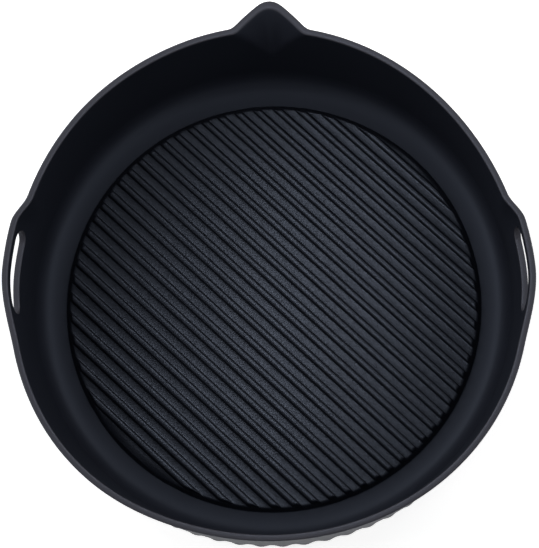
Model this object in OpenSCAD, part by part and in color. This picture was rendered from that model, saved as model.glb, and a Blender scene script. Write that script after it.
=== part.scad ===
// Moulded silicone liner for a round air fryer basket: a shallow pan with a ribbed floor,
// a pouring spout at the back, a slotted handle at each side and a fluted base corner.
// The origin is the centre of the underside. +Z is up, +Y points to the spout.

/* [Pan] */
// Outer radius of the rim
rim_r = 105; // [85:1:130]
// Height from the underside to the rim
height = 50; // [40:1:75]
// Thickness of the wall
wall_t = 2.6; // [1.5:0.1:3.2]
// Lean of the wall from upright, in degrees
draft = 5.2; // [2:0.2:9]
// Radius of the rounded corner under the wall
corner_r = 10; // [6:0.5:14]
// Radius of the hollow between floor and wall
fillet_r = 12; // [8:0.5:16]
// Rounding of the rim's two edges
rim_round = 0.6; // [0.2:0.1:0.7]
// How far the soft rim is drawn into an oval
rim_oval = 0.7; // [0:0.1:2]
// Direction in which that oval is narrowest, in degrees
oval_turn = 17; // [-90:1:90]
// How far the soft rim is drawn out towards a rounded triangle
rim_lobe = 1.5; // [0:0.1:2]
// How far the soft rim leans to the left
rim_lean = 0.7; // [-2:0.1:2]
// How far the soft rim is pressed in on one side, with the rim beside it pushed out
rim_press = 0.8; // [0:0.1:1.5]
// Direction of that side, in degrees
press_turn = 184; // [160:1:200]

/* [Ribbed floor] */
// Thickness of the floor in the smooth trough round the ribs
floor_t = 2; // [1.6:0.1:4]
// Width of the flat bottom of that trough
trough_w = 0.2; // [0.2:0.2:12]
// Height of the raised field that carries the ribs
field_h = 1.7; // [0.5:0.1:2.5]
// Width of the field's sloping edge
field_slope = 2; // [0.5:0.1:4]
// Distance between two ribs
rib_pitch = 6.2; // [4.5:0.1:12]
// Width of a rib at its foot
rib_w = 3; // [1.4:0.1:3.4]
// Height of a rib above the field
rib_h = 1.6; // [0.8:0.1:4]
// Width of the slope at the two ends of a rib
rib_slope = 0.8; // [0.2:0.1:2]
// How far the row of ribs sits off the centre, towards the spout
rib_shift = 1; // [-3:0.5:3]
// Direction of the ribs, turned from the X axis, in degrees
rib_angle = -43; // [-90:1:90]

/* [Spout] */
// How far the spout stands out from the rim
spout_reach = 10.8; // [5:0.2:14]
// Slope of the spout's two sides against the rim, in degrees
spout_flank = 40; // [30:1:50]
// Half the width of the rounded nose
spout_nose = 4.8; // [3:0.2:7]
// Length of the soft turn from the rim into a side of the spout
spout_blend = 4; // [2:0.5:6]
// Depth below the rim at which the spout begins
spout_drop = 25; // [15:1:30]

/* [Handles] */
// How far a handle bows out from the rim
handle_bow = 3.3; // [1.5:0.1:6]
// Reach of a handle along the rim, from its middle towards the spout
handle_rear = 31; // [26:1:42]
// Length of the turn at that end of a handle
handle_turn = 12.5; // [8:0.5:26]
// Reach of a handle from its middle towards the front, where it fades evenly
handle_front = 34; // [26:0.5:42]
// How far both handles sit from the X axis towards the spout
handle_shift = 6.5; // [-8:0.5:8]
// Height on the wall at which the handles begin to bow out
handle_foot = 23; // [20:1:32]
// Height of the strap above the slot
strap_h = 4.5; // [4:0.5:9]
// Height of the slot
slot_h = 9.5; // [8:0.5:14]
// Length of the slot
slot_len = 34; // [26:1:42]

/* [Fluted base corner] */
// Number of flutes round the base corner
flute_n = 70; // [50:2:90]
// Depth of a flute from crest to hollow
flute_d = 0.8; // [0.2:0.1:1.4]
// Height on the wall at which the flutes fade out
flute_top = 18; // [16:1:24]

/* [Hidden] */
silicone = "#30333a";

// Wall line, corner arc and fillet arc in the plane of one section
wall_d = rim_r * cos(draft) - height * sin(draft);
corner_x = (wall_d - corner_r + corner_r * sin(draft)) / cos(draft);
fillet_x = (wall_d - wall_t * cos(draft) - fillet_r + (floor_t + fillet_r) * sin(draft)) / cos(draft);
field_r = fillet_x - trough_w - field_slope;
field_z = floor_t + field_h;

// Heights of the rings on the flared part of the wall
flare_steps = 4;
flare_z = [
    for (i = [0 : flare_steps])
        height - spout_drop + (spout_drop - rim_round) * i / flare_steps
];

// Spout and handles seen from above
spout_slope = tan(spout_flank);
spout_side = spout_reach / spout_slope + (spout_nose - spout_blend) / 2;
spout_thin = wall_t * (1 / cos(spout_flank) - 1);
slot_z = height - strap_h - slot_h / 2;

// Angles of the section planes: two to a flute, with finer steps through the spout
flute_step = 180 / flute_n;
fine_zone = 2 * asin((spout_side + spout_blend) / rim_r / 2);
nose_zone = fine_zone / 2;
angles = [
    for (i = [0 : 2 * flute_n - 1])
        let (a = i * flute_step, off = abs(a + flute_step / 2 - 90))
        let (parts = off < nose_zone ? 4 : off < fine_zone + flute_step ? 2 : 1)
        for (k = [0 : parts - 1]) a + flute_step * k / parts
];

// Levels of a rib from below its foot to its crest: [half of the width, height], as shares
rib_levels = [[0.5, -0.4], [0.5, 0], [0.46, 0.5], [0.3, 0.88], [0.12, 1]];
rib_leaf = 0.02;

// Ease from 0 to 1 with level ends
function ease(t) = let (c = max(0, min(1, t))) c * c * (3 - 2 * c);

// Outline of the spout at distance u from its middle: rounded nose, straight side, soft turn
function spout_line(u) =
    u < spout_nose ? spout_reach - spout_slope * u * u / (2 * spout_nose)
    : u < spout_side ? spout_reach - spout_slope * (u - spout_nose / 2)
    : u < spout_side + spout_blend
        ? spout_slope * pow(spout_side + spout_blend - u, 2) / (2 * spout_blend)
    : 0;

// Share of the spout's reach at height z: a cone that starts on the wall
function spout_share(z) = pow(max(0, 1 - (height - z) / spout_drop), 1.4);

// The spout at angle a and height z, thinner by trim on the inner skin
function spout_out(a, z, trim) =
    let (k = spout_share(z) * (1 - trim / spout_reach), u = abs(a - 90) * PI / 180 * rim_r)
    k > 0.01 ? k * spout_line(u / k) : 0;

// Distance along the rim from the middle of the nearer handle, positive towards the spout
function handle_u(a) =
    let (side = cos(a) < 0 ? 180 - a : a > 180 ? a - 360 : a)
    side * PI / 180 * rim_r - handle_shift;

// The bow of a handle at angle a and height z: it starts on the wall and grows to the rim
function handle_out(a, z) =
    let (u = handle_u(a))
    let (along = u > 0 ? (handle_rear - u) / handle_turn : 1 + u / handle_front)
    handle_bow * ease(along) * ease((z - handle_foot) / (height - handle_foot));

// The relaxed shape of the soft rim, which dies out towards the stiff base
function relaxed(a, z) =
    let (share = max(0, z - corner_r) / (height - corner_r), off = abs(a - press_turn))
    let (oval = rim_oval * cos(2 * (a - oval_turn)), lobes = rim_lobe * sin(3 * a))
    let (press = rim_press * cos(4 * off) * ease(2 - off / 45))
    -share * (oval + lobes + press + rim_lean * cos(a));

// A ring is [radius, height, trim of the spout, share of the flutes]
function wall_x(z) = rim_r - (height - z) * tan(draft);
rings = concat(
    [
        for (i = [0 : 4])
            let (t = -90 + (90 - draft) * i / 4)
            [corner_x + corner_r * cos(t), corner_r + corner_r * sin(t), 0, sin(t + 90)]
    ],
    [[wall_x(flute_top), flute_top, 0, 0]],
    [for (z = flare_z) [wall_x(z), z, 0, 0]],
    [[rim_r - rim_round, height, 0, 0]],
    [[rim_r - wall_t + rim_round, height, spout_thin, 0]],
    [for (i = [flare_steps : -1 : 0]) [wall_x(flare_z[i]) - wall_t, flare_z[i], spout_thin, 0]],
    [
        for (i = [5 : -1 : 0])
            let (t = -90 + (90 - draft) * i / 5)
            [fillet_x + fillet_r * cos(t), floor_t + fillet_r + fillet_r * sin(t), 0, 0]
    ],
    [
        for (t = [0 : 3])
            [field_r + field_slope * (1 - t / 3), floor_t + field_h * ease(t / 3), 0, 0]
    ]
);

function skin_point(ring, a) =
    let (flare = spout_out(a, ring[1], ring[2]) + handle_out(a, ring[1]))
    let (flute = flute_d / 2 * cos(flute_n * a) * ring[3])
    let (r = ring[0] + relaxed(a, ring[1]) + flare + flute)
    [r * cos(a), r * sin(a), ring[1]];

// Shell: one skin lofted through the rings, from the underside over the rim to the floor
module shell() {
    n = len(angles);
    last = (len(rings) - 1) * n;
    skin = [for (ring = rings) for (a = angles) skin_point(ring, a)];
    sides = [
        for (i = [0 : len(rings) - 2])
            for (j = [0 : n - 1])
                let (k = (j + 1) % n)
                each [
                    [i * n + j, (i + 1) * n + j, (i + 1) * n + k],
                    [i * n + j, (i + 1) * n + k, i * n + k]
                ]
    ];
    underside = [for (j = [0 : n - 1]) j];
    field = [for (j = [n - 1 : -1 : 0]) last + j];
    polyhedron(points = skin, faces = concat(sides, [underside, field]), convexity = 6);
}

// Outline of a rib at one level, cut off at its ends by the round field
module rib_leaf_at(y, half_w, r) {
    linear_extrude(height = rib_leaf)
        polygon([
            for (side = [-1, 1])
                for (k = [-1 : 1])
                    let (v = y - side * k * half_w)
                    [side * sqrt(r * r - v * v), v]
        ]);
}

// Ribs: parallel bars with a rounded crest, as long as the round field allows
module ribs() {
    rows = floor((field_r - rib_w - abs(rib_shift)) / rib_pitch);
    rotate([0, 0, rib_angle])
        for (i = [-rows : rows])
            hull()
                for (level = rib_levels)
                    translate([0, 0, field_z + rib_h * level[1] - rib_leaf])
                        rib_leaf_at(
                            i * rib_pitch + rib_shift,
                            rib_w * level[0],
                            field_r - rib_slope * max(0, level[1])
                        );
}

// Slots: one through each handle, with round ends
module slots() {
    reach = (slot_len - slot_h) / 2;
    for (side = [-1, 1])
        translate([side * rim_r, handle_shift, slot_z])
            rotate([0, 90, 0])
                linear_extrude(height = 6 * wall_t + 2 * handle_bow, center = true)
                    union() {
                        square([slot_h, 2 * reach], center = true);
                        translate([0, -reach]) circle(d = slot_h, $fn = 32);
                        translate([0, reach]) circle(d = slot_h, $fn = 32);
                    }
}

module liner() {
    color(silicone)
        difference() {
            union() {
                shell();
                ribs();
            }
            slots();
        }
}

liner();
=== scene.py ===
"""Air fryer liner in black moulded silicone: the finished surfaces, the studio and the camera.

The liner is one moulding. Its skin and its ribbed floor are worked out from the same sizes as the
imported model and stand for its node. Lengths are in metres, +Z is up and +Y points to the spout.
"""

import math

import bpy
import numpy as np
from mathutils import Matrix, Vector


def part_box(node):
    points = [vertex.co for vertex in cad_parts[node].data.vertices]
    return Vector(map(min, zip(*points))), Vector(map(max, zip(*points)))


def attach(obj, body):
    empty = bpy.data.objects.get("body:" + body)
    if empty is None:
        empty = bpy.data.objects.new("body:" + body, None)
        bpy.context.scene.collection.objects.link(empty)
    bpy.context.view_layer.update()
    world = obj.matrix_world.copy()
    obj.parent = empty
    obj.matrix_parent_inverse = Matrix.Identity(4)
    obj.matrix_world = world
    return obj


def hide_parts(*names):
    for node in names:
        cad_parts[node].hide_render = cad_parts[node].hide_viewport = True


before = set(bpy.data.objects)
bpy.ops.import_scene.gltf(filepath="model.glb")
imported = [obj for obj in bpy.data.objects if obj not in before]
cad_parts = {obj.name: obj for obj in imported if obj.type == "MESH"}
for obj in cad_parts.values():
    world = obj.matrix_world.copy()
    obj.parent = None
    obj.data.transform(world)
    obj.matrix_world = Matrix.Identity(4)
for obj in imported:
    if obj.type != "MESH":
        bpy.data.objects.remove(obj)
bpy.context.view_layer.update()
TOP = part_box("liner")[1].z

bl_info = {
    "name": "Air fryer liner",
    "version": (1, 0, 0),
    "blender": (4, 5, 0),
    "location": "View3D > Sidebar > Liner",
    "description": "Builds a ribbed silicone air fryer liner with a spout and slotted handles",
    "category": "Add Mesh",
}

MM = 0.001

# How finely the surfaces are drawn
COLUMNS_PER_FLUTE = 8
WALL_RINGS = 36
CORNER_RINGS = 14
FILLET_RINGS = 18
RIM_RINGS = 4
CHORD_POINTS = 121

# Rounding of the slots' edges, the layers that it takes and those that lead to it over the skin
SLOT_ROUND = 0.4 * MM
EDGE_LAYERS = 5
LEAD_LAYERS = 5

# Height in the middle of the pan at which the lamps are turned
AIM_HEIGHT = 30 * MM


class LinerPanSettings(bpy.types.PropertyGroup):
    """Sizes of the pan's wall, corner and floor."""

    rim_radius: bpy.props.FloatProperty(
        name="Rim radius", description="Outer radius of the rim", default=105 * MM, unit="LENGTH"
    )
    height: bpy.props.FloatProperty(
        name="Height", description="From the underside to the rim", default=TOP, unit="LENGTH"
    )
    wall: bpy.props.FloatProperty(
        name="Wall", description="Thickness of the wall", default=2.6 * MM, unit="LENGTH"
    )
    draft: bpy.props.FloatProperty(
        name="Draft",
        description="Lean of the wall from upright",
        default=math.radians(5.2),
        subtype="ANGLE",
    )
    corner: bpy.props.FloatProperty(
        name="Corner", description="Radius under the wall", default=10 * MM, unit="LENGTH"
    )
    fillet: bpy.props.FloatProperty(
        name="Fillet", description="Radius between floor and wall", default=12 * MM, unit="LENGTH"
    )
    rim_round: bpy.props.FloatProperty(
        name="Rim rounding",
        description="Rounding of the rim's edges",
        default=0.6 * MM,
        unit="LENGTH",
    )
    rim_oval: bpy.props.FloatProperty(
        name="Rim oval", description="Oval pull of the soft rim", default=0.7 * MM, unit="LENGTH"
    )
    oval_turn: bpy.props.FloatProperty(
        name="Oval turn",
        description="Direction in which the oval is narrowest",
        default=math.radians(17),
        subtype="ANGLE",
    )
    rim_lobe: bpy.props.FloatProperty(
        name="Rim lobes",
        description="Three-cornered pull of the soft rim",
        default=1.5 * MM,
        unit="LENGTH",
    )
    rim_lean: bpy.props.FloatProperty(
        name="Rim lean",
        description="Lean of the soft rim to the left",
        default=0.7 * MM,
        unit="LENGTH",
    )
    rim_press: bpy.props.FloatProperty(
        name="Rim press",
        description="Soft rim pressed in on one side",
        default=0.8 * MM,
        unit="LENGTH",
    )
    press_turn: bpy.props.FloatProperty(
        name="Press turn",
        description="Direction of the side that is pressed in",
        default=math.radians(184),
        subtype="ANGLE",
    )
    floor: bpy.props.FloatProperty(
        name="Floor",
        description="Thickness of the floor in the trough",
        default=2 * MM,
        unit="LENGTH",
    )
    flutes: bpy.props.IntProperty(
        name="Flutes", description="Number of flutes round the base corner", default=70
    )
    flute_depth: bpy.props.FloatProperty(
        name="Flute depth", description="From crest to hollow", default=0.8 * MM, unit="LENGTH"
    )
    flute_top: bpy.props.FloatProperty(
        name="Flute top",
        description="Height at which the flutes fade",
        default=18 * MM,
        unit="LENGTH",
    )


class LinerSpoutSettings(bpy.types.PropertyGroup):
    """Sizes of the pouring spout and the two handles."""

    reach: bpy.props.FloatProperty(
        name="Spout reach",
        description="How far the spout stands out",
        default=10.8 * MM,
        unit="LENGTH",
    )
    flank: bpy.props.FloatProperty(
        name="Spout flank",
        description="Slope of its sides against the rim",
        default=math.radians(40),
        subtype="ANGLE",
    )
    nose: bpy.props.FloatProperty(
        name="Spout nose",
        description="Half the width of its rounded nose",
        default=4.8 * MM,
        unit="LENGTH",
    )
    blend: bpy.props.FloatProperty(
        name="Spout blend", description="Soft turn from rim to side", default=4 * MM, unit="LENGTH"
    )
    drop: bpy.props.FloatProperty(
        name="Spout drop", description="Depth at which it begins", default=25 * MM, unit="LENGTH"
    )
    bow: bpy.props.FloatProperty(
        name="Handle bow", description="How far a handle bows out", default=3.3 * MM, unit="LENGTH"
    )
    rear: bpy.props.FloatProperty(
        name="Handle rear", description="Reach towards the spout", default=31 * MM, unit="LENGTH"
    )
    turn: bpy.props.FloatProperty(
        name="Handle turn",
        description="Length of the turn at its rear",
        default=12.5 * MM,
        unit="LENGTH",
    )
    front: bpy.props.FloatProperty(
        name="Handle front", description="Reach towards the front", default=34 * MM, unit="LENGTH"
    )
    shift: bpy.props.FloatProperty(
        name="Handle shift", description="Towards the spout", default=6.5 * MM, unit="LENGTH"
    )
    foot: bpy.props.FloatProperty(
        name="Handle foot",
        description="Height at which they begin to bow",
        default=23 * MM,
        unit="LENGTH",
    )
    strap: bpy.props.FloatProperty(
        name="Strap height", description="Above the slot", default=4.5 * MM, unit="LENGTH"
    )
    slot_height: bpy.props.FloatProperty(
        name="Slot height", description="Height of the slot", default=9.5 * MM, unit="LENGTH"
    )
    slot_length: bpy.props.FloatProperty(
        name="Slot length", description="Length of the slot", default=34 * MM, unit="LENGTH"
    )


class LinerRibSettings(bpy.types.PropertyGroup):
    """Sizes of the raised field and its ribs."""

    trough: bpy.props.FloatProperty(
        name="Trough", description="Flat bottom of the trough", default=0.2 * MM, unit="LENGTH"
    )
    field_height: bpy.props.FloatProperty(
        name="Field height", description="Above the trough", default=1.7 * MM, unit="LENGTH"
    )
    field_slope: bpy.props.FloatProperty(
        name="Field slope", description="Width of its sloping edge", default=2 * MM, unit="LENGTH"
    )
    pitch: bpy.props.FloatProperty(
        name="Rib pitch", description="Distance between two ribs", default=6.2 * MM, unit="LENGTH"
    )
    width: bpy.props.FloatProperty(
        name="Rib width", description="Width of a rib at its foot", default=3 * MM, unit="LENGTH"
    )
    height: bpy.props.FloatProperty(
        name="Rib height", description="Height of a rib", default=1.6 * MM, unit="LENGTH"
    )
    end_slope: bpy.props.FloatProperty(
        name="Rib ends",
        description="Width of the slope at a rib's ends",
        default=0.8 * MM,
        unit="LENGTH",
    )
    shift: bpy.props.FloatProperty(
        name="Rib shift", description="Row of ribs off the centre", default=1 * MM, unit="LENGTH"
    )
    angle: bpy.props.FloatProperty(
        name="Rib direction",
        description="Turn from the X axis",
        default=math.radians(-43),
        subtype="ANGLE",
    )


class LinerFinishSettings(bpy.types.PropertyGroup):
    """Colours, as sRGB hex values."""

    silicone: bpy.props.StringProperty(
        name="Silicone", description="Blue-black pigment of the silicone", default="#14161d"
    )
    # Gloss tint: the lamps' cool light painted into the silicone's reflections as a blue tint, not a
    # colour of the silicone
    gloss: bpy.props.StringProperty(
        name="Gloss", description="Cool tint of its gloss", default="#d6e4ff"
    )
    # Cut edge colour: a paler grey painted on the rim and the slots' faces, as painted sheen for the
    # light that they catch
    edge: bpy.props.StringProperty(
        name="Cut edge", description="Dry grey of the trimmed edges", default="#36353a"
    )
    floor: bpy.props.StringProperty(
        name="Studio floor", description="Pale paper under the liner", default="#f2f2f2"
    )


def linear(hex_colour):
    """Turn an sRGB hex colour into a linear RGBA tuple."""
    value = hex_colour.lstrip("#")
    srgb = [int(value[i : i + 2], 16) / 255 for i in (0, 2, 4)]
    rgb = [c / 12.92 if c <= 0.04045 else ((c + 0.055) / 1.055) ** 2.4 for c in srgb]
    return (*rgb, 1.0)


def ease(t):
    """Rise from 0 to 1 with level ends: 3 t squared minus 2 t cubed, held outside the range."""
    t = np.clip(t, 0, 1)
    return t * t * (3 - 2 * t)


class Form:
    """The liner's surface as functions of the angle round it and the height."""

    def __init__(self, pan, spout, ribs):
        self.pan, self.spout, self.ribs = pan, spout, ribs
        self.cos, self.sin = math.cos(pan.draft), math.sin(pan.draft)
        line = pan.rim_radius * self.cos - pan.height * self.sin
        inner = line - pan.wall * self.cos
        self.corner_x = (line - pan.corner * (1 - self.sin)) / self.cos
        self.fillet_x = (inner - pan.fillet + (pan.floor + pan.fillet) * self.sin) / self.cos
        self.slope = math.tan(spout.flank)
        self.side = spout.reach / self.slope + (spout.nose - spout.blend) / 2
        self.thin = pan.wall * (1 / math.cos(spout.flank) - 1)
        self.slot_z = pan.height - spout.strap - spout.slot_height / 2
        self.field = self.fillet_x - ribs.trough - ribs.field_slope

    def wall(self, z):
        """Outer radius of the straight wall: it leans in by the draft below the rim."""
        return self.pan.rim_radius - (self.pan.height - z) * math.tan(self.pan.draft)

    def spout_line(self, u):
        """Spout's reach at distance u from its middle: parabola, straight side, parabola, zero."""
        s, slope, end = self.spout, self.slope, self.side + self.spout.blend
        nose = s.reach - slope * u * u / (2 * s.nose)
        side = s.reach - slope * (u - s.nose / 2)
        turn = slope * (end - u) ** 2 / (2 * s.blend)
        return np.where(u < s.nose, nose, np.where(u < self.side, side, np.where(u < end, turn, 0)))

    def spout_out(self, a, z, trim):
        """Similar spout lines that start on the wall and grow to the rim, by the power 1.4 of height."""
        share = np.clip(1 - (self.pan.height - z) / self.spout.drop, 0, None) ** 1.4
        k = np.maximum(share * (1 - trim / self.spout.reach), 1e-4)
        u = np.abs(a - math.pi / 2) * self.pan.rim_radius
        return np.where(share > 0.001, k * self.spout_line(u / k), 0)

    def handle_out(self, a, z):
        """Bow of the handles: short turn at the rear, even fade to the front, eased up to the rim."""
        s = self.spout
        side = np.where(np.cos(a) < 0, math.pi - a, np.where(a > math.pi, a - 2 * math.pi, a))
        u = side * self.pan.rim_radius - s.shift
        along = ease(np.where(u > 0, (s.rear - u) / s.turn, 1 + u / s.front))
        return s.bow * along * ease((z - s.foot) / (self.pan.height - s.foot))

    def relaxed(self, a, z):
        """Oval, lobes, lean and pressed-in side of the soft rim, growing evenly above the corner.

        They are waves of two, three, one and four times the angle, the last only near its side.
        """
        pan = self.pan
        share = np.maximum(0, z - pan.corner) / (pan.height - pan.corner)
        off = np.abs(a - pan.press_turn)
        oval = pan.rim_oval * np.cos(2 * (a - pan.oval_turn))
        press = pan.rim_press * np.cos(4 * off) * ease(2 - off * 4 / math.pi)
        return -share * (oval + press + pan.rim_lobe * np.sin(3 * a) + pan.rim_lean * np.cos(a))

    def flute(self, a):
        """Cosine wave round the corner, half of the depth to each side."""
        return self.pan.flute_depth / 2 * np.cos(self.pan.flutes * a)

    def place(self, a, r, z, trim, flute):
        """Point at angle a: profile radius plus flare, relaxed pull and flutes, turned round Z."""
        out = r + self.relaxed(a, z) + self.spout_out(a, z, trim) + self.handle_out(a, z)
        out = out + self.flute(a) * flute
        return np.stack([out * np.cos(a), out * np.sin(a), z + 0 * a], axis=-1)


def arc(centre_r, centre_z, radius, start, end, steps):
    """Arc in the section plane, as radii and heights, from one angle to another."""
    t = np.radians(np.linspace(start, end, steps + 1))
    return centre_r + radius * np.cos(t), centre_z + radius * np.sin(t), t


def grid_faces(rows, columns, closed):
    """Quads between neighbouring rows of points, wrapped round when closed."""
    i = np.arange(rows - 1)[:, None]
    j = np.arange(columns if closed else columns - 1)[None, :]
    k = (j + 1) % columns
    quads = [i * columns + j, i * columns + k, (i + 1) * columns + k, (i + 1) * columns + j]
    return np.stack([q + 0 * i for q in quads], axis=-1).reshape(-1, 4)


def mesh_object(name, points, quads, triangles=()):
    """Mesh object from arrays: points, then quads and triangles as loops of vertex numbers."""
    quads = np.asarray(quads, dtype=np.int32).reshape(-1, 4)
    triangles = np.asarray(triangles, dtype=np.int32).reshape(-1, 3)
    loops = np.concatenate([quads.ravel(), triangles.ravel()])
    sizes = np.concatenate([np.full(len(quads), 4), np.full(len(triangles), 3)]).astype(np.int32)
    starts = np.concatenate([[0], np.cumsum(sizes)[:-1]]).astype(np.int32)
    mesh = bpy.data.meshes.new(name)
    mesh.vertices.add(len(points))
    mesh.vertices.foreach_set("co", np.asarray(points, dtype=np.float32).ravel())
    mesh.loops.add(len(loops))
    mesh.loops.foreach_set("vertex_index", loops)
    mesh.polygons.add(len(sizes))
    mesh.polygons.foreach_set("loop_start", starts)
    mesh.polygons.foreach_set("loop_total", sizes)
    mesh.polygons.foreach_set("use_smooth", np.ones(len(sizes), dtype=bool))
    mesh.update(calc_edges=True)
    mesh.validate()
    made = bpy.data.objects.new(name, mesh)
    bpy.context.scene.collection.objects.link(made)
    return made


def pan_profile(form):
    """Section of the skin from the middle of the underside, over the rim, to the middle of the floor.

    Arcs make the corner, the rim's edges and the fillet, straight lines the two sides of the wall.
    Returns radii, heights, spout trims and flute shares of all rings, the first wall ring outside
    and inside, and the wall rings' heights on both sides.
    """
    pan = form.pan
    draft = math.degrees(pan.draft)
    # Rings on the flat underside, as shares of its radius
    under = np.array([0.35, 0.7, 0.93]) * form.corner_x
    corner_r, corner_z, t = arc(
        form.corner_x, pan.corner, pan.corner, -90, -draft, CORNER_RINGS
    )
    wall_z = np.linspace(corner_z[-1], pan.height - pan.rim_round, WALL_RINGS + 1)[1:]
    fade = 1 - ease((wall_z - corner_z[-1]) / (pan.flute_top - corner_z[-1]))
    turn = math.pi / 2 * np.arange(1, RIM_RINGS + 1) / RIM_RINGS
    edge = pan.rim_round
    out_r = pan.rim_radius - edge + edge * np.cos(turn)
    in_r = pan.rim_radius - pan.wall + edge - edge * np.cos(turn[::-1])
    edge_z = pan.height - edge + edge * np.sin(turn)
    fillet_r, fillet_z, _ = arc(
        form.fillet_x, pan.floor + pan.fillet, pan.fillet, -draft, -90, FILLET_RINGS
    )
    # The wall's inner rings are level with the outer ones and stop just above the fillet
    inner_z = wall_z[wall_z > fillet_z[0] + 0.4 * MM][::-1]
    inner_r = form.wall(inner_z) - pan.wall
    # Rings on the floor, as shares of its radius, close together under the field's edge
    floor_r = form.fillet_x * np.array([0.985, 0.96, 0.7, 0.35])
    radii = np.concatenate(
        [under, corner_r, form.wall(wall_z), out_r, in_r, inner_r, fillet_r, floor_r]
    )
    heights = np.concatenate(
        [0 * under, corner_z, wall_z, edge_z, edge_z[::-1], inner_z, fillet_z, 0 * floor_r + pan.floor]
    )
    inner_count = len(in_r) + len(inner_z) + len(fillet_r) + len(floor_r)
    trims = np.zeros(len(radii))
    trims[-inner_count:] = form.thin
    # Flutes grow round the corner and fade out on the wall
    shares = np.zeros(len(radii))
    outer_wall = len(under) + len(corner_r)
    shares[len(under) : outer_wall] = np.sin(t + math.pi / 2)
    shares[outer_wall : outer_wall + len(wall_z)] = fade
    inner_wall = outer_wall + len(wall_z) + len(out_r) + len(in_r)
    return radii, heights, trims, shares, outer_wall, inner_wall, wall_z, inner_z


def handle_layers(form, angles, heights, side):
    """Points from the edge of the outer gap round the slot's edge and through to the inner gap.

    Each layer is a closed loop. Over the skins it is drawn evenly from the gap to the slot's
    outline, always on the skin. At the slot it turns in a quarter circle and crosses the wall.
    """
    pan, spout = form.pan, form.spout
    half_y, half_z = spout.slot_length / 2, spout.slot_height / 2
    core = half_y - half_z

    def skin_x(y, z, wall):
        """X of the skin at this y and height, with the angle found by repeated substitution."""
        a, rounds = np.arcsin(y / pan.rim_radius), 8
        for _ in range(rounds):
            turned = a if side > 0 else math.pi - a
            point = form.place(turned, form.wall(z) - wall, z, 0, 0)
            a = np.arcsin(np.clip(y / np.hypot(point[..., 0], point[..., 1]), -1, 1))
        return side * np.hypot(point[..., 0], point[..., 1]) * np.cos(a)

    start = form.place(angles, form.wall(heights), heights, 0, 0)
    y0, z0 = start[:, 1] - spout.shift, heights - form.slot_z
    qy, qz = y0 / np.abs(y0).max() * half_y, z0 / np.abs(z0).max() * half_z
    past = np.clip(qy, -core, core)
    dy, dz = qy - past, qz
    length = np.hypot(dy, dz)
    dy, dz = dy / length, dz / length

    def outline(grown):
        """Slot's outline with its half height grown by this much."""
        return past + (half_z + grown) * dy + spout.shift, (half_z + grown) * dz + form.slot_z

    layers = []
    y1, z1 = outline(SLOT_ROUND)
    lead = np.arange(1, LEAD_LAYERS + 1) / (LEAD_LAYERS + 1)
    quarter = np.linspace(0, math.pi / 2, EDGE_LAYERS)
    for t in lead:
        y, z = start[:, 1] * (1 - t) + y1 * t, heights * (1 - t) + z1 * t
        layers.append(np.stack([skin_x(y, z, 0), y, z], axis=-1))
    for wall, turns in ((0, quarter), (pan.wall, quarter[::-1])):
        for turn in turns:
            y, z = outline(SLOT_ROUND * (1 - math.sin(turn)))
            sink = side * SLOT_ROUND * (1 - math.cos(turn)) * (1 if wall else -1)
            layers.append(np.stack([skin_x(y, z, wall) + sink, y, z], axis=-1))
    inside = form.place(angles, form.wall(heights) - pan.wall, heights, 0, 0)
    for t in lead[::-1]:
        y, z = inside[:, 1] * (1 - t) + y1 * t, heights * (1 - t) + z1 * t
        layers.append(np.stack([skin_x(y, z, pan.wall), y, z], axis=-1))
    return np.stack(layers)


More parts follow.
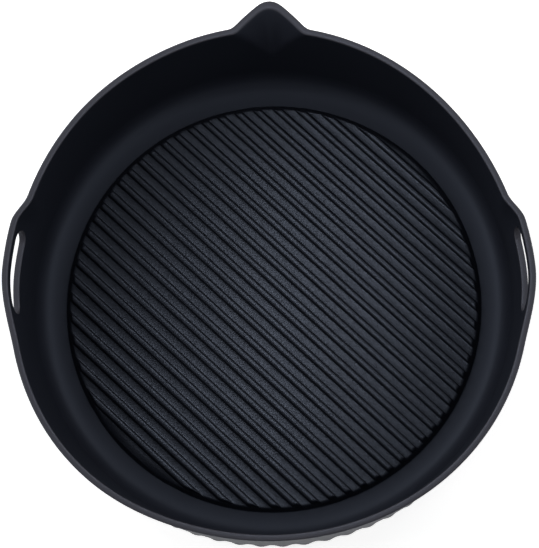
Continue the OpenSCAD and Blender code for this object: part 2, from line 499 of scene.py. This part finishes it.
def build_pan(form):
    """Skin lofted through the section at every angle, with the wall opened at both slots."""
    columns = COLUMNS_PER_FLUTE * form.pan.flutes
    angles = np.arange(columns) * 2 * math.pi / columns
    radii, heights, trims, shares, outer, inner, outer_z, inner_z = pan_profile(form)
    skin = form.place(
        angles[None, :], radii[:, None], heights[:, None], trims[:, None], shares[:, None]
    )
    rows = len(radii)
    points = [skin.reshape(-1, 3), [[0, 0, 0], [0, 0, form.pan.floor]]]
    low_pole, high_pole = rows * columns, rows * columns + 1
    quads = grid_faces(rows, columns, True).reshape(rows - 1, columns, 4)
    keep = np.ones((rows - 1, columns), dtype=bool)
    cuts, outsides = [], []

    # The gap that is opened round a slot reaches this far past it, up and along
    past_up, past_along = 2.8 * MM, 6 * MM
    reach_z = form.spout.slot_height / 2 + past_up
    up = np.flatnonzero(np.abs(outer_z - form.slot_z) < reach_z)
    outer_rows = outer + up
    inner_rows = inner + np.array([np.argmin(np.abs(inner_z - outer_z[i])) for i in up])
    spread = (form.spout.slot_length / 2 + past_along) / form.pan.rim_radius
    middle = form.spout.shift / form.pan.rim_radius
    total = rows * columns + 2
    extra = []
    for side, centre in ((1, middle), (-1, math.pi - middle)):
        first = math.floor((centre - spread) / (2 * math.pi) * columns)
        last = math.ceil((centre + spread) / (2 * math.pi) * columns)
        span = np.arange(first, last + 1) % columns
        keep[np.ix_(outer_rows[:-1], span[:-1])] = False
        keep[np.ix_(inner_rows[1:], span[:-1])] = False

        def loop(ring_rows):
            """Skin points round the gap: along its foot, up, back along its top and down."""
            low, top = ring_rows[0], ring_rows[-1]
            return np.concatenate(
                [
                    low * columns + span[:-1],
                    ring_rows[:-1] * columns + span[-1],
                    top * columns + span[:0:-1],
                    ring_rows[:0:-1] * columns + span[0],
                ]
            )

        edge, back = loop(outer_rows), loop(inner_rows)
        layers = handle_layers(form, angles[edge % columns], heights[edge // columns], side)
        ids = total + np.arange(layers.shape[0] * layers.shape[1]).reshape(layers.shape[:2])
        ids = np.concatenate([edge[None], ids, back[None]])
        total += layers.shape[0] * layers.shape[1]
        points.append(layers.reshape(-1, 3))
        # The first layers lie on the outer skin, as many last ones on the inner, the rest are cut
        layer = np.repeat(np.arange(len(layers)), layers.shape[1])
        cuts.append((layer > LEAD_LAYERS) & (layer < len(layers) - LEAD_LAYERS - 1))
        outsides.append(layer <= LEAD_LAYERS)
        following = np.roll(ids, -1, axis=1)
        band = np.stack([ids[:-1], following[:-1], following[1:], ids[1:]], axis=-1)
        extra.append(band.reshape(-1, 4))
    j = np.arange(columns)
    k = (j + 1) % columns
    top = (rows - 1) * columns
    fans = np.concatenate(
        [
            np.stack([0 * j + low_pole, k, j], axis=-1),
            np.stack([0 * j + high_pole, top + j, top + k], axis=-1),
        ]
    )
    made = mesh_object("pan", np.concatenate(points), np.concatenate([quads[keep], *extra]), fans)
    # Attributes for the finish: the rim and slots, which carry a painted sheen, and the outer skin
    row = np.repeat(np.arange(rows), columns)
    rim = outer + len(outer_z)
    sheen_painted = np.concatenate([(row >= rim) & (row < inner), [0, 0], *cuts])
    outside = np.concatenate([row < rim, [1, 0], *outsides])
    for name, value in (("sheen_painted", sheen_painted), ("outside", outside)):
        given = made.data.attributes.new(name, "FLOAT", "POINT").data
        given.foreach_set("value", value.astype(np.float32))
    return made


def rib_rows(form):
    """Distances across the field at which chords are drawn: close over ribs and at both ends."""
    ribs = form.ribs
    count = math.floor((form.field - ribs.width - abs(ribs.shift)) / ribs.pitch)
    centres = np.arange(-count, count + 1) * ribs.pitch + ribs.shift
    # Shares of a rib's half width, closest together where its flank turns down
    section = np.array([0.2, 0.38, 0.54, 0.68, 0.79, 0.87, 0.93, 0.97, 1.0, 1.06, 1.16, 1.3, 1.9])
    across = np.concatenate([-section[::-1], [0], section]) * ribs.width / 2
    rows = (centres[:, None] + across[None, :]).ravel()
    # Distances from the foot of the field's edge, closest together at the foot
    steps = np.array([0.02, 0.08, 0.18, 0.32, 0.5, 0.7, 0.9, 1.1, 1.3, 1.5, 1.7, 1.9]) * MM
    ends = form.field + ribs.field_slope - steps
    rows = np.concatenate([rows[np.abs(rows) < ends[-1] - 0.1 * MM], ends, -ends])
    return np.unique(np.round(rows, 8)), centres


def build_ribbed_floor(form):
    """Field slab: chords across the ribs give its top, a skirt and a flat bottom close it.

    A rib's section is a rounded arch, height times (1 - x^4)^0.6, with x the distance from
    its spine over half its width. Near the edge of the field it falls in a quarter ellipse.
    Beside the rib the field is higher by a low root that dies out as exp(-7 (x - 1)). The edge
    of the field is an eased slope down to the trough.
    """
    ribs, pan = form.ribs, form.pan
    root_height, skirt_depth = 0.12 * MM, 1 * MM
    rows, centres = rib_rows(form)
    columns = CHORD_POINTS
    v = np.sin(np.linspace(-1, 1, columns) * math.pi / 2)
    foot_r = form.field + ribs.field_slope
    chord = np.sqrt(foot_r**2 - rows**2)
    s, n = chord[:, None] * v[None, :], rows[:, None] + 0 * v[None, :]
    nearest = centres[np.argmin(np.abs(n[..., None] - centres), axis=-1)]
    x = np.abs(n - nearest) / (ribs.width / 2)
    end = np.clip((form.field - np.hypot(s, n)) / ribs.end_slope, 0, 1)
    share = (1 - np.clip(x, 0, 1) ** 4) ** 0.6 * np.sqrt(end * (2 - end))
    root = root_height * np.exp(-np.maximum(x - 1, 0) * 7) * end
    up = ease((foot_r - np.hypot(s, n)) / ribs.field_slope)
    z = pan.floor + ribs.field_height * up + ribs.height * share + root
    cos, sin = math.cos(ribs.angle), math.sin(ribs.angle)
    top = np.stack([s * cos - n * sin, s * sin + n * cos, z], axis=-1).reshape(-1, 3)
    count = len(rows)
    low_pole, high_pole = count * columns, count * columns + 1
    poles = [[foot_r * sin, -foot_r * cos, pan.floor], [-foot_r * sin, foot_r * cos, pan.floor]]
    i = np.arange(count)
    ring = np.concatenate(
        [[low_pole], i * columns + columns - 1, [high_pole], i[::-1] * columns]
    )
    points = np.concatenate([top, poles])
    skirt = points[ring] * [1, 1, 0] + [0, 0, pan.floor - skirt_depth]
    below = len(points) + np.arange(len(ring))
    centre = len(points) + len(ring)
    points = np.concatenate([points, skirt, [[0, 0, pan.floor - skirt_depth]]])
    after, under = np.roll(ring, -1), np.roll(below, -1)
    quads = np.concatenate(
        [grid_faces(count, columns, False), np.stack([below, under, after, ring], axis=-1)]
    )
    j = np.arange(columns - 1)
    last = (count - 1) * columns
    fans = np.concatenate(
        [
            np.stack([0 * j + low_pole, j + 1, j], axis=-1),
            np.stack([0 * j + high_pole, last + j, last + j + 1], axis=-1),
            np.stack([0 * below + centre, under, below], axis=-1),
        ]
    )
    made = mesh_object("ribbed_floor", points, quads, fans)
    crest = np.zeros(len(points), dtype=np.float32)
    crest[: len(top)] = share.ravel()
    made.data.attributes.new("crest", "FLOAT", "POINT").data.foreach_set("value", crest)
    return made


def add_node(tree, kind, inputs=None, **settings):
    """Add a shader node. Inputs give a value or another node's socket for each socket's name."""
    made = tree.nodes.new(kind)
    for name, value in settings.items():
        setattr(made, name, value)
    for name, value in (inputs or {}).items():
        if isinstance(value, bpy.types.NodeSocket):
            tree.links.new(value, made.inputs[name])
        else:
            made.inputs[name].default_value = value
    return made


def new_material(name):
    """Material with an empty tree and its output."""
    made = bpy.data.materials.new(name)
    made.use_nodes = True
    made.node_tree.nodes.clear()
    return made, made.node_tree, add_node(made.node_tree, "ShaderNodeOutputMaterial")


def silicone_base(tree, finish, share):
    """Object coordinates in metres, the bloom, and a share of the pigment that the bloom makes paler."""
    place = add_node(tree, "ShaderNodeTexCoord").outputs["Object"]
    # Bloom: silicone sweats a haze of oil in patches about 40 mm wide. It lifts the dark colour
    # by a quarter and a trace more
    bloom = add_node(
        tree,
        "ShaderNodeTexNoise",
        {"Vector": place, "Scale": 1 / (40 * MM), "Detail": 5, "Roughness": 0.6},
    ).outputs["Fac"]
    base = tuple(c * share for c in linear(finish.silicone)[:3]) + (1,)
    pale = tuple(c * 1.25 + 0.001 for c in base[:3]) + (1,)
    tint = add_node(
        tree, "ShaderNodeMix", {"Factor": bloom, "A": base, "B": pale}, data_type="RGBA"
    )
    return place, bloom, tint


def polished_silicone(finish):
    """Pan: pressed against a satin-polished mould, which leaves a soft gloss and a fine ripple."""
    made, tree, output = new_material("Satin moulded silicone")
    place, bloom, tint = silicone_base(tree, finish, 1)
    satin = add_node(tree, "ShaderNodeMapRange", {"Value": bloom, "To Min": 0.4, "To Max": 0.5})
    # The mould is polished on the wall and left matt in the hollow round the field
    height = add_node(tree, "ShaderNodeSeparateXYZ", {"Vector": place}).outputs["Z"]
    hollow = add_node(
        tree,
        "ShaderNodeMapRange",
        {"Value": height, "From Min": 2 * MM, "From Max": 5 * MM, "To Min": 0.3, "To Max": 0},
        interpolation_type="SMOOTHSTEP",
    )
    # Outside, the mould half is blasted, which leaves the wall duller
    outside = add_node(tree, "ShaderNodeAttribute", attribute_name="outside").outputs["Fac"]
    dull = add_node(
        tree,
        "ShaderNodeMath",
        {0: outside, 1: 0.15, 2: satin.outputs["Result"]},
        operation="MULTIPLY_ADD",
    )
    # The rim's parting line and the slots' faces are painted a paler grey: painted sheen for the light
    # that they catch
    sheen_mask = add_node(tree, "ShaderNodeAttribute", attribute_name="sheen_painted").outputs["Fac"]
    colour = add_node(
        tree,
        "ShaderNodeMix",
        {"Factor": sheen_mask, "A": tint.outputs["Result"], "B": linear(finish.edge)},
        data_type="RGBA",
    )
    rough = add_node(
        tree,
        "ShaderNodeMath",
        {0: dull.outputs["Value"], 1: hollow.outputs["Result"]},
        operation="ADD",
    )
    # Mould ripple, drawn 1.2 mm wide instead of the real 0.3 mm so that it shows
    ripple = add_node(
        tree, "ShaderNodeTexNoise", {"Vector": place, "Scale": 1 / (1.2 * MM), "Detail": 3}
    )
    bump = add_node(
        tree,
        "ShaderNodeBump",
        {"Strength": 0.25, "Distance": 0.03 * MM, "Height": ripple.outputs["Fac"]},
    )
    shader = add_node(
        tree,
        "ShaderNodeBsdfPrincipled",
        {
            "Base Color": colour.outputs["Result"],
            "Roughness": rough.outputs["Value"],
            "Normal": bump.outputs["Normal"],
            "IOR": 1.41,
            # Specular tint: painted cool colour of the lamp light in the reflections
            "Specular Tint": linear(finish.gloss),
        },
    )
    tree.links.new(shader.outputs["BSDF"], output.inputs["Surface"])
    return made


def etched_silicone(finish):
    """Field: the mould is spark-eroded there, which leaves an even satin with a fine grain."""
    made, tree, output = new_material("Etched moulded silicone")
    # Etching deepens the black to about half of the pigment's colour
    place, _, tint = silicone_base(tree, finish, 0.5)
    crest = add_node(tree, "ShaderNodeAttribute", attribute_name="crest").outputs["Fac"]
    rough = add_node(tree, "ShaderNodeMapRange", {"Value": crest, "To Min": 0.35, "To Max": 0.34})
    # Eroded grain, drawn 0.6 mm wide instead of the real 0.2 mm so that it shows
    grain = add_node(
        tree,
        "ShaderNodeTexNoise",
        {"Vector": place, "Scale": 1 / (0.6 * MM), "Detail": 6, "Roughness": 0.7},
    )
    # The grain's pits hold less gloss than its peaks, and the ribs' crests are rubbed a little shinier
    speck = add_node(
        tree,
        "ShaderNodeMapRange",
        {
            "Value": grain.outputs["Fac"],
            "From Min": 0.35,
            "From Max": 0.65,
            "To Min": 0.17,
            "To Max": 0.68,
        },
    )
    gloss = add_node(
        tree,
        "ShaderNodeMath",
        {0: crest, 1: 0.05, 2: speck.outputs["Result"]},
        operation="MULTIPLY_ADD",
    )
    bump = add_node(
        tree,
        "ShaderNodeBump",
        {"Strength": 0.36, "Distance": 0.08 * MM, "Height": grain.outputs["Fac"]},
    )
    shader = add_node(
        tree,
        "ShaderNodeBsdfPrincipled",
        {
            "Base Color": tint.outputs["Result"],
            "Roughness": rough.outputs["Result"],
            "Specular IOR Level": gloss.outputs["Value"],
            "Normal": bump.outputs["Normal"],
            "IOR": 1.41,
            # Specular tint: painted cool colour of the lamp light in the reflections
            "Specular Tint": linear(finish.gloss),
        },
    )
    tree.links.new(shader.outputs["BSDF"], output.inputs["Surface"])
    return made


def seen_ray(tree):
    """1 for rays that are seen directly, in a gloss or through something clear, and else 0."""
    rays = add_node(tree, "ShaderNodeLightPath").outputs
    two = add_node(
        tree,
        "ShaderNodeMath",
        {0: rays["Is Camera Ray"], 1: rays["Is Glossy Ray"]},
        operation="MAXIMUM",
    )
    return add_node(
        tree,
        "ShaderNodeMath",
        {0: two.outputs[0], 1: rays["Is Transmission Ray"]},
        operation="MAXIMUM",
    ).outputs[0]


def studio_paper(finish):
    """Floor: matt white paper."""
    made, tree, output = new_material("Studio paper")
    shader = add_node(
        tree, "ShaderNodeBsdfPrincipled", {"Base Color": linear(finish.floor), "Roughness": 0.9}
    )
    # Lifts the paper to white where it is seen or mirrored; its shadows stay
    lift = add_node(
        tree, "ShaderNodeMapRange", {"Value": seen_ray(tree), "To Min": 0, "To Max": 0.75}
    )
    glow = add_node(
        tree, "ShaderNodeEmission", {"Color": (1, 1, 1, 1), "Strength": lift.outputs["Result"]}
    )
    both = add_node(
        tree, "ShaderNodeAddShader", {0: shader.outputs["BSDF"], 1: glow.outputs["Emission"]}
    )
    tree.links.new(both.outputs["Shader"], output.inputs["Surface"])
    return made


def finish_piece(piece, material):
    """Give a piece its material and let it stand for the liner's node."""
    piece.data.materials.append(material)
    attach(piece, "root")
    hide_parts("liner")


class LINER_OT_pan(bpy.types.Operator):
    """Build the pan: wall, rim, spout, slotted handles, fluted corner and trough"""

    bl_idname = "liner.pan"
    bl_label = "Pan"

    def execute(self, context):
        scene = context.scene
        form = Form(scene.liner_pan, scene.liner_spout, scene.liner_ribs)
        finish_piece(build_pan(form), polished_silicone(scene.liner_finish))
        return {"FINISHED"}


class LINER_OT_ribbed_floor(bpy.types.Operator):
    """Build the raised field with its parallel ribs"""

    bl_idname = "liner.ribbed_floor"
    bl_label = "Ribbed floor"

    def execute(self, context):
        scene = context.scene
        form = Form(scene.liner_pan, scene.liner_spout, scene.liner_ribs)
        finish_piece(build_ribbed_floor(form), etched_silicone(scene.liner_finish))
        return {"FINISHED"}


def add_lamp(name, place, size, power):
    """Rectangular area lamp at a place, turned towards the middle of the liner."""
    lamp = bpy.data.lights.new(name, "AREA")
    lamp.shape = "RECTANGLE"
    lamp.size, lamp.size_y = size
    lamp.energy = power
    made = bpy.data.objects.new(name, lamp)
    made.location = place
    made.visible_camera = False
    aim = Vector((0, 0, AIM_HEIGHT)) - Vector(place)
    made.rotation_euler = aim.to_track_quat("-Z", "Y").to_euler()
    bpy.context.scene.collection.objects.link(made)
    return made


def add_softbox(name, turn, rise, power):
    """Softbox 0.55 m square, 1.3 m from the liner, at a turn from the X axis and a rise, in degrees."""
    turn, rise, away = math.radians(turn), math.radians(rise), 1.3
    level = away * math.cos(rise)
    place = (level * math.cos(turn), level * math.sin(turn), away * math.sin(rise) + AIM_HEIGHT)
    return add_lamp(name, place, (0.55, 0.55), power)


def add_camera():
    """Camera at the photograph's angle: nearly overhead, a little to the front and turned."""
    azimuth, elevation, roll = (math.radians(d) for d in (11.0, 77.2, -11.1))
    target, distance = Vector((-0.9, 9.7, 20.0)) * MM, 1.05
    back = Vector(
        (
            math.sin(azimuth) * math.cos(elevation),
            -math.cos(azimuth) * math.cos(elevation),
            math.sin(elevation),
        )
    )
    level = (-back).cross(Vector((0, 0, 1))).normalized()
    over = level.cross(-back)
    right = level * math.cos(roll) + over * math.sin(roll)
    up = over * math.cos(roll) - level * math.sin(roll)
    lens = bpy.data.cameras.new("camera")
    lens.sensor_width, lens.lens = 36, 167.4
    lens.clip_start, lens.clip_end = 0.05, 30
    made = bpy.data.objects.new("camera", lens)
    made.matrix_world = Matrix((right, up, back)).transposed().to_4x4()
    made.location = target + back * distance
    bpy.context.scene.collection.objects.link(made)
    bpy.context.scene.camera = made
    return made


def build_sweep():
    """Round paper sweep: a level disc whose rim turns up in a quarter circle to a low upright wall."""
    flat, bend, low, around = 4.0, 1.2, -0.2 * MM, 96
    r, z, _ = arc(flat, low + bend, bend, -90, 0, 16)
    r, z = np.append(r, flat + bend), np.append(z, low + 1.5 * bend)
    a = np.arange(around) * 2 * math.pi / around
    points = np.stack([r[:, None] * np.cos(a), r[:, None] * np.sin(a), z[:, None] + 0 * a], axis=-1)
    middle = len(points) * len(a)
    j = np.arange(len(a))
    fan = np.stack([0 * j + middle, j, (j + 1) % len(a)], axis=-1)
    points = np.concatenate([points.reshape(-1, 3), [[0, 0, low]]])
    return mesh_object("studio_floor", points, grid_faces(len(r), len(a), True)[:, ::-1], fan)


class LINER_OT_studio(bpy.types.Operator):
    """Set up the paper floor, the soft lights and the camera"""

    bl_idname = "liner.studio"
    bl_label = "Studio"

    def execute(self, context):
        scene = context.scene
        floor = build_sweep()
        floor.data.materials.append(studio_paper(scene.liner_finish))
        lamps = [
            add_softbox("right_light", 0, 38, 2.2),
            add_softbox("back_right_light", 45, 28, 1.9),
            add_softbox("back_right_top_light", 45, 50, 0.8),
            add_softbox("back_light", 90, 28, 0.9),
            add_softbox("back_left_light", 135, 36, 4.4),
            add_softbox("left_light", 180, 40, 3.5),
            add_softbox("front_left_light", 225, 34, 0.9),
            add_softbox("front_right_light", 315, 34, 1),
            add_lamp("overhead_strip", (0.006, 0.065, 0.32), (0.05, 0.2), 0.33),
        ]
        camera = add_camera()

        world = bpy.data.worlds.new("studio")
        world.use_nodes = True
        tree = world.node_tree
        tree.nodes.clear()
        light = add_node(
            tree, "ShaderNodeBackground", {"Color": (1, 1, 1, 1), "Strength": 0.08}
        )
        output = add_node(tree, "ShaderNodeOutputWorld")
        tree.links.new(light.outputs["Background"], output.inputs["Surface"])
        scene.world = world
        scene.view_settings.view_transform = "Standard"
        return {"FINISHED"}


class LINER_PT_panel(bpy.types.Panel):
    """Sizes and build buttons in the 3D view's sidebar"""

    bl_label = "Air fryer liner"
    bl_idname = "LINER_PT_panel"
    bl_space_type = "VIEW_3D"
    bl_region_type = "UI"
    bl_category = "Liner"

    def draw(self, context):
        layout = self.layout
        scene = context.scene
        for heading, group in (
            ("Pan", scene.liner_pan),
            ("Spout and handles", scene.liner_spout),
            ("Ribs", scene.liner_ribs),
            ("Finish", scene.liner_finish),
        ):
            box = layout.box()
            box.label(text=heading)
            for name in group.__annotations__:
                box.prop(group, name)
        for operator in (LINER_OT_pan, LINER_OT_ribbed_floor, LINER_OT_studio):
            layout.operator(operator.bl_idname)


CLASSES = (
    LinerPanSettings,
    LinerSpoutSettings,
    LinerRibSettings,
    LinerFinishSettings,
    LINER_OT_pan,
    LINER_OT_ribbed_floor,
    LINER_OT_studio,
    LINER_PT_panel,
)


def register():
    """Register the classes and hang the settings on the scene."""
    for made in CLASSES:
        bpy.utils.register_class(made)
    bpy.types.Scene.liner_pan = bpy.props.PointerProperty(type=LinerPanSettings)
    bpy.types.Scene.liner_spout = bpy.props.PointerProperty(type=LinerSpoutSettings)
    bpy.types.Scene.liner_ribs = bpy.props.PointerProperty(type=LinerRibSettings)
    bpy.types.Scene.liner_finish = bpy.props.PointerProperty(type=LinerFinishSettings)


def unregister():
    """Take the settings off the scene and unregister the classes."""
    del bpy.types.Scene.liner_finish
    del bpy.types.Scene.liner_ribs
    del bpy.types.Scene.liner_spout
    del bpy.types.Scene.liner_pan
    for made in reversed(CLASSES):
        bpy.utils.unregister_class(made)


def main():
    """Build every piece and the studio."""
    register()
    bpy.ops.liner.pan()
    bpy.ops.liner.ribbed_floor()
    bpy.ops.liner.studio()
    bpy.context.view_layer.update()


if __name__ == "__main__":
    main()
